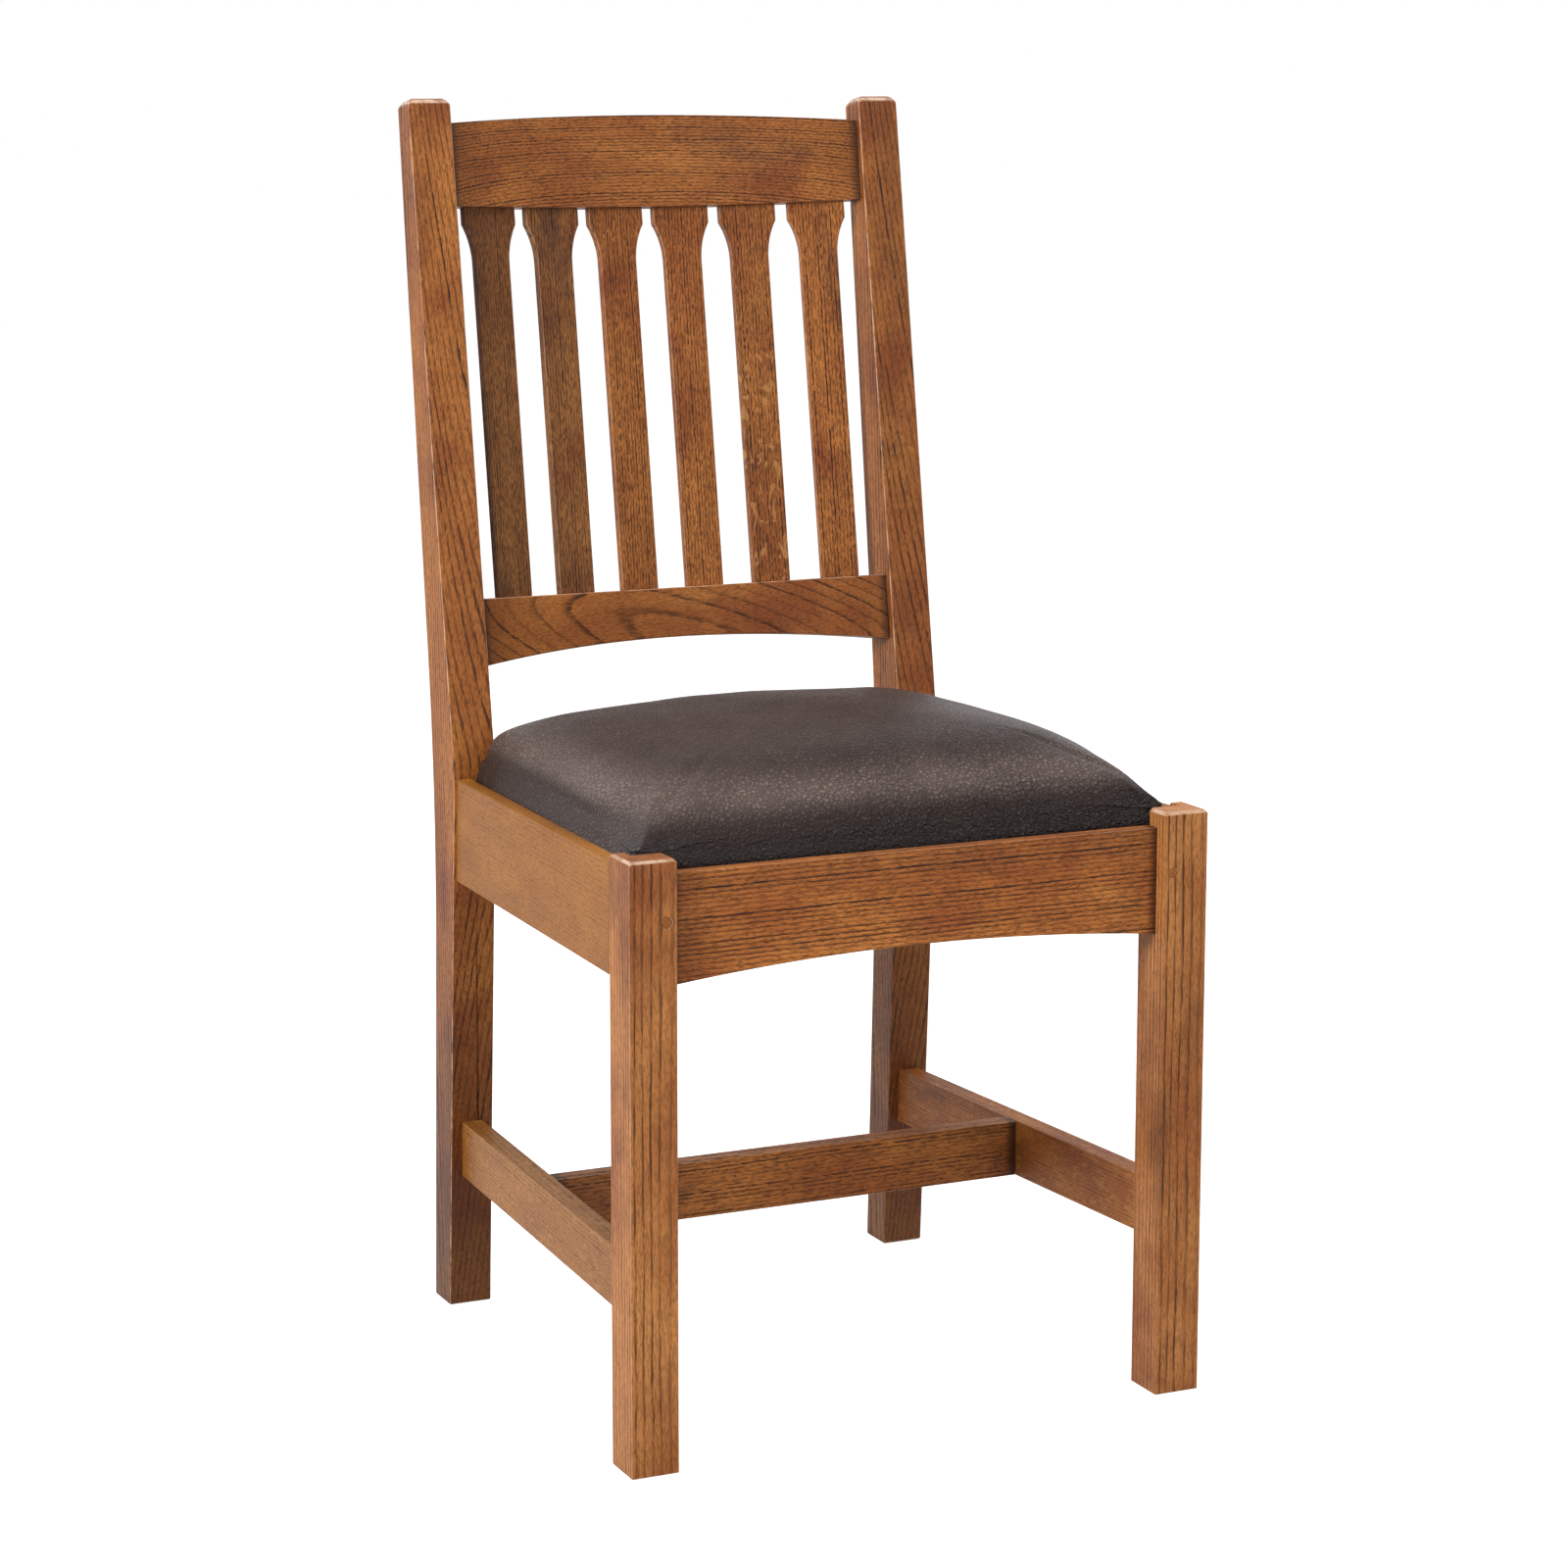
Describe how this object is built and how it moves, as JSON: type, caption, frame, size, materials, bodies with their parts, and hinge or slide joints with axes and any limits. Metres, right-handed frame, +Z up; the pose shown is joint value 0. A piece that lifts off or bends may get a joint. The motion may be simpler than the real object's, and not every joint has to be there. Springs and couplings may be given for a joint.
{
  "type": "wooden side chair",
  "caption": "Wooden side chair with a bowed slat back, straight square legs, an H stretcher and a lift-out leather slip seat.",
  "frame": {"origin": "on the floor under the middle of the chair's bounding box", "axes": "+X to the right seen from the front, +Y to the back, +Z up"},
  "size_m": [0.4844, 0.5562, 1.0053],
  "materials": {
    "oak": "stained oak under a satin varnish",
    "block_wood": "planed, unstained",
    "plywood": "sanded, bare",
    "foam": "soft open foam",
    "leather": "dark brown leather with a soft sheen",
    "dust_cloth": "matte black cambric",
    "steel": "plain steel"
  },
  "bodies": {
    "chair_frame": {"front_leg_left": "oak", "front_leg_right": "oak", "back_post_left": "oak", "back_post_right": "oak", "front_seat_rail": "oak", "side_seat_rail_left": "oak", "side_seat_rail_right": "oak", "rear_seat_rail": "oak", "rail_pin_left": "oak", "rail_pin_right": "oak", "crest_rail": "oak", "lower_back_rail": "oak", "slat_1": "oak", "slat_2": "oak", "slat_3": "oak", "slat_4": "oak", "slat_5": "oak", "slat_6": "oak", "side_stretcher_left": "oak", "side_stretcher_right": "oak", "cross_stretcher": "oak", "corner_block_front_left": "block_wood", "corner_block_front_right": "block_wood", "corner_block_rear_left": "block_wood", "corner_block_rear_right": "block_wood", "corner_block_screws": "steel"},
    "slip_seat": {"seat_board": "plywood", "seat_foam": "foam", "seat_cover": "leather", "dust_cover": "dust_cloth", "cover_tacks": "steel"}
  },
  "joints": [
    {"name": "seat_lift", "type": "slide", "parent": "chair_frame", "child": "slip_seat", "axis": [0, 0, 1], "range_m": [0, 0.08]}
  ]
}
